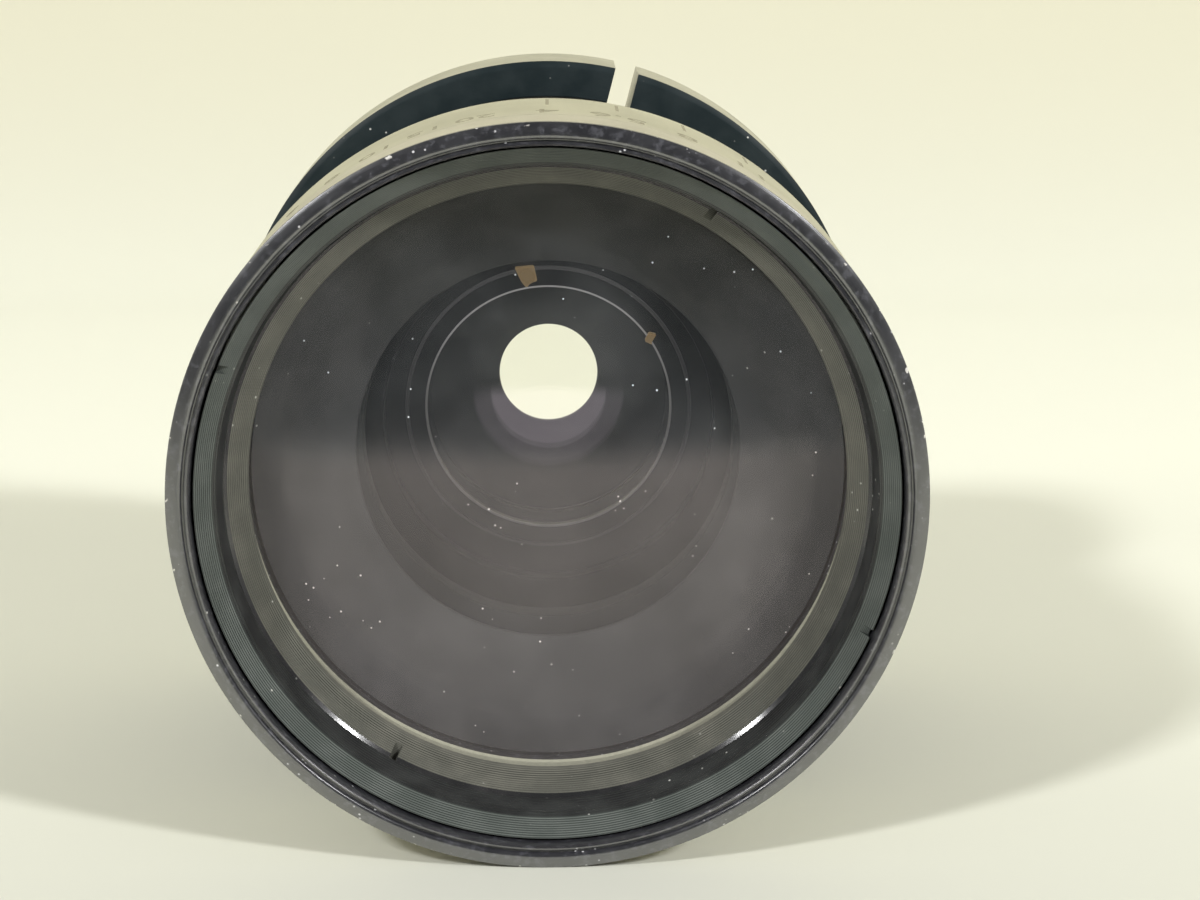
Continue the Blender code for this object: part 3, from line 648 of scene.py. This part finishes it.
def build_cells():
    """Everything black behind the front glass, down to the baffle with the exit hole."""
    inner_cell = rounded([
        (32.7, 18.0), (32.7, 22.6), (29.5, 23.5), (26.2, 26.0), (26.2, 52.9), (24.6, 52.9),
        (24.6, 28.3), (21.8, 28.3, 0.15), (21.8, 27.6, 0.3),
    ])
    piece("inner_cell_cone", turned("cell", inner_cell), "barrel", "matt_black", CONE_BLACK,
          stands_for=["inner_cell"])
    spacer = rounded([(21.5, 35.1, 0.1), (24.3, 35.1), (24.3, 40.3), (21.5, 38.9, 0.1)])
    piece("cell_spacer_turned", turned("spacer", spacer, ROUND_SMALL), "barrel", "matt_black", MATT_BLACK,
          stands_for=["cell_spacer"])
    ring = rounded([(19.7, 45.7, 0.4), (24.3, 45.7), (24.3, 49.0), (19.7, 49.0, 0.2)])
    mesh = with_cuts(turned("ring", ring, ROUND_SMALL), notch_cuts((0.0, 180.0), 21.0, 49.2, tall=0.9))
    piece("inner_cell_ring_turned", mesh, "barrel", "black_anodised", CELL_BLACK,
          stands_for=["inner_cell_ring"])
    base = rounded([
        (14.8, 53.2, 0.25), (15.4, 53.2), (17.0, 53.2), (17.1, 52.95), (17.4, 52.95), (17.45, 53.2),
        (26.5, 53.2), (26.5, 49.0), (28.0, 49.0), (28.0, 53.2), (31.5, 53.2), (31.5, 54.7), (14.8, 54.7, 0.2),
    ])
    obj = piece("iris_base_turned", turned("base", base), "barrel", "matt_black", CELL_BLACK, PAINTED_HIGHLIGHT_EDGE,
                FAINT_HIGHLIGHT_EDGE, stands_for=["iris_base"])
    # painted highlights on the rim of the iris hole and on a thin ring outside it
    paint_where(obj, 1, lambda radius, depth, normal: radius < 15.04 and depth < 53.45)
    paint_where(obj, 2, lambda radius, depth, normal: 16.95 < radius < 17.5 and depth < 53.3)
    rear_cell = rounded([
        (14.6, 59.0), (21.7, 59.0, 0.2), (21.7, 62.3), (26.0, 62.3, 0.2), (26.0, 64.5, 0.2), (21.7, 64.5),
        (21.7, 86.8, 0.3), (18.3, 86.8, 0.2), (18.3, 60.5), (15.6, 60.5),
    ])
    piece("rear_cell_turned", turned("rear", rear_cell, ROUND_SMALL), "barrel", "matt_black", MATT_BLACK,
          stands_for=["rear_cell"])
    baffle = rounded([(18.0, 65.2), (18.0, 77.2), (6.35, 77.2), (6.35, 76.6, 0.15), (16.8, 65.2)])
    piece("exit_baffle_turned", turned("baffle", baffle, ROUND_SMALL), "barrel", "matt_black", CELL_BLACK,
          stands_for=["exit_baffle"])


def join_rings(bm, first, second):
    """Prism between two matching rings of vertices."""
    bm.faces.new(first)
    bm.faces.new(second)
    for k in range(len(first)):
        after = (k + 1) % len(first)
        bm.faces.new((first[k], first[after], second[after], second[k]))


def guide_mesh(name, corners, low, high):
    """Small upright prism with softened edges, on face (x, height) corners."""
    bm = bmesh.new()
    near, far = [[bm.verts.new(Vector((x, depth - RIM_TO_ORIGIN, z)) * MM) for x, z in corners]
                 for depth in (low, high)]
    join_rings(bm, near, far)
    soft_edge = 0.09
    bmesh.ops.bevel(bm, geom=bm.edges[:], offset=soft_edge * MM, segments=2, affect="EDGES")
    return mesh_from(bm, name)


def build_light_guides():
    """Two amber prisms that carry light to the aperture scale."""
    front_face, rear_face = 51.4, 52.9
    deepest_above = 0.2       # the amber is deepest a little above the prism's middle
    guides = {
        "scale_light_guide_1": [
            (-4.0, 17.4), (-1.7, 17.6), (-1.3, 15.8), (-2.0, 15.7), (-2.6, 15.0), (-3.2, 15.7),
        ],
        "scale_light_guide_2": [(12.2, 9.4), (13.1, 9.2), (12.5, 8.4), (12.6, 8.0), (11.7, 8.4)],
    }
    for name, corners in guides.items():
        x = sum(corner[0] for corner in corners) / len(corners)
        z = sum(corner[1] for corner in corners) / len(corners) + deepest_above
        centre = Vector((x, front_face - RIM_TO_ORIGIN, z)) * MM
        piece(name + "_prism", guide_mesh(name, corners, front_face, rear_face), "barrel", "amber_plastic",
              amber_plastic(name + "_amber", centre), stands_for=[name])


def build_rear():
    """Main and rear barrels, the split collar and the rings behind it."""
    main = rounded([
        (38.6, 29.2, 0.1), (39.0, 29.6, 0.1), (39.0, 31.4, 0.2), (37.5, 31.4), (37.5, 48.0, 0.6),
        (35.6, 54.0, 1.0), (35.6, 74.3, 0.2), (33.0, 74.3), (33.0, 62.0), (22.0, 62.0), (22.0, 59.2),
        (34.0, 59.2), (34.0, 43.0), (35.3, 43.0), (35.3, 29.2, 0.1),
    ])
    holes = [(rod_mesh(1.3, -3.0, 3.0), radial_frame(36.4, face_degrees, SET_SCREW_DEPTH))
             for face_degrees in SET_SCREWS_AT]
    mesh = with_cuts(turned("main", main), holes)
    piece("main_barrel_turned", mesh, "barrel", "black_anodised", BLACK_BARREL,
          stands_for=["main_barrel"])

    rear = rounded([
        (29.0, 66.0), (32.7, 66.0), (32.7, 74.6), (34.5, 74.6), (34.5, 88.1, 0.15), (32.6, 88.1),
        *grooved((32.6, 88.3), (32.6, 94.2), 0.5, 0.12), (32.3, 94.7, 0.15), (30.5, 94.7, 0.3),
        (30.5, 83.5), (29.0, 83.5),
    ])
    piece("rear_barrel_turned", turned("rear", rear), "barrel", "black_anodised", BLACK_BARREL,
          stands_for=["rear_barrel"])

    collar = rounded([
        (34.8, 75.8), (36.0, 74.6, 0.1), (39.65, 74.6, 0.2), (40.4, 75.0, 0.12), (40.4, 87.7, 0.2),
        (40.0, 88.1, 0.2), (34.8, 88.1, 0.2),
    ])
    mesh = slotted_ring("collar", collar, COLLAR_SLOT_AT, COLLAR_SLOT_WIDTH)
    obj = piece("mount_collar_split", mesh, "barrel", "collar_metal", COLLAR_SILVER, COLLAR_FACE,
                stands_for=["mount_collar"])
    paint_where(obj, 1, lambda radius, depth, normal: depth < 75.0 and normal.y < -0.2)

    end_ring = rounded([
        (32.9, 88.4), (34.4, 88.4, 0.1), (34.4, 91.2, 0.1), (34.2, 91.4, 0.1), (32.9, 91.4, 0.1),
    ])
    mesh = with_cuts(turned("end", end_ring), notch_cuts((45.0, 225.0), 34.2, 91.3, width=1.6))
    piece("barrel_end_ring_turned", mesh, "barrel", "black_anodised", BLACK_BARREL,
          stands_for=["barrel_end_ring"])

    grooves = grooved((29.9, 85.8), (22.6, 85.8), 0.6, -0.08)
    cover = [(22.0, 83.8), (30.2, 83.8), (30.2, 85.8), *grooves, (22.0, 85.6)]
    mesh = with_cuts(turned("cover", cover), notch_cuts((90.0, 270.0), 26.0, 86.0, width=1.2))
    piece("rear_cover_ring_grooved", mesh, "barrel", "black_anodised", BLACK_BARREL,
          stands_for=["rear_cover_ring"])
    retainer = rounded([(15.2, 83.2, 0.1), (18.0, 83.2), (18.0, 86.2, 0.2), (16.0, 86.2, 0.3)])
    notches = notch_cuts((0.0, 180.0), 16.8, 86.4, tall=0.9)
    mesh = with_cuts(turned("retainer", retainer, ROUND_SMALL), notches)
    piece("rear_retaining_ring_turned", mesh, "barrel", "black_anodised", BLACK_BARREL,
          stands_for=["rear_retaining_ring"])


# ---- aperture ring and its scale ----------------------------------------------------------
PAINT_PROUD, PAINT_SUNK = 0.02, 0.06      # how far the scale's marks stand out of and into the band


def wrapped_text(text, height, face_degrees, depth, radius):
    """Thin solid numerals laid round the band, reading upside down from the front."""
    curve = bpy.data.curves.new("numeral", "FONT")
    curve.body = text
    curve.size = height * MM
    curve.align_x = "CENTER"
    curve.align_y = "CENTER"
    curve.resolution_u = 3
    holder = bpy.data.objects.new("numeral", curve)
    bpy.context.collection.objects.link(holder)
    bpy.context.view_layer.update()
    flat = bpy.data.meshes.new_from_object(holder.evaluated_get(bpy.context.evaluated_depsgraph_get()))
    bpy.data.objects.remove(holder, do_unlink=True)
    bm = bmesh.new()
    bm.from_mesh(flat)
    bmesh.ops.remove_doubles(bm, verts=bm.verts, dist=SAME_POINT)
    top = bmesh.ops.extrude_face_region(bm, geom=bm.faces[:])
    raised = {v for v in top["geom"] if isinstance(v, bmesh.types.BMVert)}
    for vert in bm.verts:
        x, y = vert.co.x / MM, vert.co.y / MM
        out = radius + (PAINT_PROUD if vert in raised else -PAINT_SUNK)
        vert.co = at(out, face_degrees + math.degrees(x / radius), depth - y)
    return mesh_from(bm, "numeral")


def tick_mesh(face_degrees, depth_low, depth_high, width, radius):
    """Thin raised line along the axis, on the band."""
    half = math.degrees(width / 2 / radius)
    bm = bmesh.new()
    corners = ((-1, depth_low), (1, depth_low), (1, depth_high), (-1, depth_high))
    under, over = [[bm.verts.new(at(out, face_degrees + side * half, depth)) for side, depth in corners]
                   for out in (radius - PAINT_SUNK, radius + PAINT_PROUD)]
    join_rings(bm, under, over)
    return mesh_from(bm, "tick")


def build_band():
    """Bright aperture ring with the hole for its screw, and its scale of plain numbers."""
    band = rounded([
        (38.3, 1.7), (39.6, 1.7, 0.12), (39.9, 2.0, 0.12), (39.9, 9.4, 0.05), (39.82, 9.5), (39.82, 9.62),
        (39.9, 9.72, 0.05), (39.9, 28.35, 0.15), (39.5, 28.8, 0.12), (38.3, 28.8),
    ])
    hole = [(rod_mesh(1.95, -2.0, 3.0), radial_frame(39.0, DRIVE_SCREW_AT, DRIVE_SCREW_DEPTH))]
    mesh = with_cuts(turned("band", band), hole)
    piece("aperture_band", mesh, "aperture", "engraved_silver", BAND_SILVER, stands_for=["aperture_ring"])

    numbers_depth = 13.5
    stops = ["4", "5.6", "8", "11"]
    for index, stop in enumerate(stops):
        face_degrees = 90.0 - RING_SWING * index / (len(stops) - 1)
        mesh = wrapped_text(stop, 5.4, face_degrees, numbers_depth, BAND_RADIUS)
        piece(f"stop_number_{index + 1}", mesh, "aperture", "engraved_silver", SCALE_PAINT)
        mesh = tick_mesh(face_degrees, 20.5, 26.5, 0.35, BAND_RADIUS)
        piece(f"stop_line_{index + 1}", mesh, "aperture", "engraved_silver", SCALE_PAINT)
    for index, number in enumerate(["20", "15", "10", "8", "6"]):
        mesh = wrapped_text(number, 4.6, 101.0 + 8.0 * index, numbers_depth, BAND_RADIUS)
        piece(f"scale_number_{index + 1}", mesh, "aperture", "engraved_silver", SCALE_PAINT)
    mark = tick_mesh(90.0, 29.8, 31.2, 0.5, 39.0)
    piece("index_line", mark, "barrel", "black_anodised", SCALE_PAINT)


def small_screw(name, profile, frame_here, cuts, body, node):
    """Turned screw with its drive cut, standing along a frame's +Z."""
    def place(radius, degrees, height):
        angle = math.radians(degrees)
        return Vector((radius * math.cos(angle), radius * math.sin(angle), height)) * MM

    mesh = with_cuts(revolved(name, rounded(profile), place, ROUND_SCREW), cuts)
    mesh.transform(frame_here)
    piece(name, mesh, body, "steel", STEEL, stands_for=[node])


def build_screws():
    """Drive screw of the aperture ring and the three grub screws."""
    drive_profile = [
        (0.0, -6.4), (0.8, -6.4, 0.1), (1.0, -6.2), (1.0, -0.75), (1.65, -0.75, 0.05), (1.65, 0.45, 0.15),
        (0.0, 0.45),
    ]
    slot = (block_mesh((-0.2, -3.0, 0.05), (0.2, 3.0, 1.0)), Matrix.Identity(4))
    small_screw("drive_screw_turned", drive_profile, radial_frame(39.2, DRIVE_SCREW_AT, DRIVE_SCREW_DEPTH),
                [slot], "aperture", "drive_screw")
    grub_profile = [(0.0, -0.9), (0.6, -0.9), (1.0, -0.5), (1.0, 0.9, 0.1), (0.0, 0.9)]
    for number, face_degrees in enumerate(SET_SCREWS_AT, start=1):
        socket = (rod_mesh(0.5, 0.0, 2.0, 6), Matrix.Identity(4))
        small_screw(f"grub_screw_{number}", grub_profile, radial_frame(36.25, face_degrees, SET_SCREW_DEPTH),
                    [socket], "barrel", f"barrel_set_screw_{number}")


def finish_carried_nodes():
    """Procedural finishes for the CAD nodes that are shown as they are."""
    finishes = {"iris_drive_sleeve": MATT_BLACK, "click_ball": STEEL, "click_spring": STEEL}
    for name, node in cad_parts.items():
        finish = BLADE_BLACK if name.startswith("iris_blade") else finishes.get(name)
        if finish and not node.hide_render:
            node.data.materials.clear()
            node.data.materials.append(finish)


# ---- stage ------------------------------------------------------------------------------
RIM_CONTACT = 1.0             # depth at which the rim rests on the floor, in millimetres
CARD_Y, CARD_FOOT = -0.325, -0.045     # where the dark card stands and its foot, in metres
# the far colour is painted shade, darker and yellower high on the wall
SWEEP_COLOUR, SWEEP_FAR_SHADE_COLOUR = (0.79, 0.795, 0.700), (0.64, 0.62, 0.48)


def sweep_surface():
    """Pale matt surface, faintly uneven, with painted shade in front and high up and a painted pool of light
    low on the wall.
    """
    n = Nodes("pale_sweep")
    y = n.coordinates()[1]
    cloud = n.smooth(n.noise(2.2, 4.0), 0.3, 0.7)
    tint = n.mix(cloud, SWEEP_COLOUR, scaled(SWEEP_COLOUR, 0.97))
    painted_light_pool = n.math("MULTIPLY", n.smooth(y, 0.06, 0.14), n.smooth(y, 0.42, 0.26))
    tint = n.mix(painted_light_pool, tint, scaled(SWEEP_COLOUR, 1.07))
    tint = n.mix(n.smooth(y, 0.30, 0.52), tint, SWEEP_FAR_SHADE_COLOUR)
    # painted shade: dimmer floor in front
    tint = n.mix(n.smooth(y, 0.02, -0.12), tint, scaled(SWEEP_COLOUR, 0.80))
    return n.done(n.shader("ShaderNodeBsdfPrincipled", Base_Color=tint, Roughness=0.7))


def fading_card(name, colour):
    """Dark card that thins out towards its lower edge."""
    n = Nodes(name)
    ripple = n.math("MULTIPLY", n.noise(3.0), 0.02)
    cover = n.smooth(n.math("ADD", n.coordinates()[2], ripple), CARD_FOOT, 0.0)
    dark = n.shader("ShaderNodeBsdfDiffuse", Color=colour)
    return n.done(n.mix_shader(cover, n.shader("ShaderNodeBsdfTransparent"), dark))


def strip(name, profile, half_width, material):
    """Stage surface drawn out sideways from a profile of (y, z) points in metres."""
    bm = bmesh.new()
    rows = [[bm.verts.new((x, y, z)) for x in (-half_width, half_width)] for y, z in profile]
    for first, second in zip(rows, rows[1:]):
        bm.faces.new((first[0], first[1], second[1], second[0]))
    mesh = bpy.data.meshes.new(name)
    bm.to_mesh(mesh)
    bm.free()
    mesh.materials.append(material)
    surface = bpy.data.objects.new(name, mesh)
    bpy.context.collection.objects.link(surface)
    return surface


def build_stage():
    """Sweep of pale floor and wall, touching the rim and the collar, and a dark card overhead."""
    slope = math.tan(math.atan2(COLLAR_RADIUS - RIM_RADIUS, COLLAR_FRONT - RIM_CONTACT))
    bend_start, bend, steps = 0.30, 0.28, 24
    level = [(-1.6, 0.0), (bend_start, 0.0)]
    for k in range(1, steps + 1):
        angle = math.radians(90.0 * k / steps)
        level.append((bend_start + bend * math.sin(angle), bend * (1 - math.cos(angle))))
    level.append((bend_start + bend, 1.9))
    contact = (RIM_CONTACT - RIM_TO_ORIGIN) * MM
    profile = [(y, z - RIM_RADIUS * MM - (y - contact) * slope) for y, z in level]
    sweep = strip("sweep", profile, 2.0, sweep_surface())
    sweep.data.shade_smooth()

    card_profile = [(CARD_Y, CARD_FOOT), (CARD_Y, 0.90), (-0.02, 0.93)]
    card = strip("dark_card", card_profile, 1.2, fading_card("card_black", (0.012, 0.016, 0.016)))
    card.visible_camera = False
    card.visible_diffuse = False
    card.visible_shadow = False
    card.visible_transmission = False


def area_light(name, place, target, size, power, diffuse=True, glossy=True):
    """Soft square light at a place, aimed at a target; it may light only matt or only glossy looks."""
    data = bpy.data.lights.new(name, "AREA")
    data.size = size
    data.energy = power
    lamp = bpy.data.objects.new(name, data)
    bpy.context.collection.objects.link(lamp)
    lamp.location = place
    lamp.visible_diffuse = diffuse
    lamp.visible_glossy = glossy
    lamp.rotation_euler = (Vector(target) - Vector(place)).to_track_quat("-Z", "Y").to_euler()


KEY_SIZE, GLINT_SIZE = 0.18, 0.05
GLINT_POWER = 1.3


def build_lights():
    """Two side lights for the shadows, two small lamps for highlights, and a bright surround."""
    world = bpy.data.worlds.new("surround")
    bpy.context.scene.world = world
    world.use_nodes = True
    background = world.node_tree.nodes["Background"]
    background.inputs["Color"].default_value = (1.0, 0.99, 0.93, 1.0)
    background.inputs["Strength"].default_value = 0.42
    centre = (0.0, -0.05, 0.0)
    area_light("left_light", (-0.875, -1.238, 1.026), centre, KEY_SIZE, 21.5, glossy=False)
    area_light("right_light", (1.125, -1.130, 0.900), centre, KEY_SIZE, 25.0, glossy=False)
    area_light("left_glint", (-0.665, -0.316, 0.608), centre, GLINT_SIZE, GLINT_POWER, diffuse=False)
    area_light("right_glint", (0.665, -0.316, 0.608), centre, GLINT_SIZE, GLINT_POWER, diffuse=False)
    bpy.context.scene.view_settings.view_transform = "Standard"


CAMERA_FROM_RIM = Vector((0.387, -294.65, 68.87))     # from the middle of the front rim, millimetres
CAMERA_PITCH_DOWN, CAMERA_YAW_RIGHT = 12.049, 0.974
CAMERA_LENS, CAMERA_SENSOR, CAMERA_NEAR = 87.0, 36.0, 0.01


def build_camera():
    """Camera in front of the lens, a little above the axis and looking down on it."""
    data = bpy.data.cameras.new("camera")
    data.lens = CAMERA_LENS
    data.sensor_width = CAMERA_SENSOR
    data.clip_start = CAMERA_NEAR
    camera = bpy.data.objects.new("camera", data)
    bpy.context.collection.objects.link(camera)
    camera.location = (CAMERA_FROM_RIM - Vector((0.0, RIM_TO_ORIGIN, 0.0))) * MM
    camera.rotation_euler = (math.radians(90.0 - CAMERA_PITCH_DOWN), 0.0, math.radians(-CAMERA_YAW_RIGHT))
    bpy.context.scene.camera = camera


build_camera()
build_front()
build_retaining_rings()
build_glass()
build_cells()
build_light_guides()
build_rear()
build_band()
build_screws()
finish_carried_nodes()
build_stage()
build_lights()
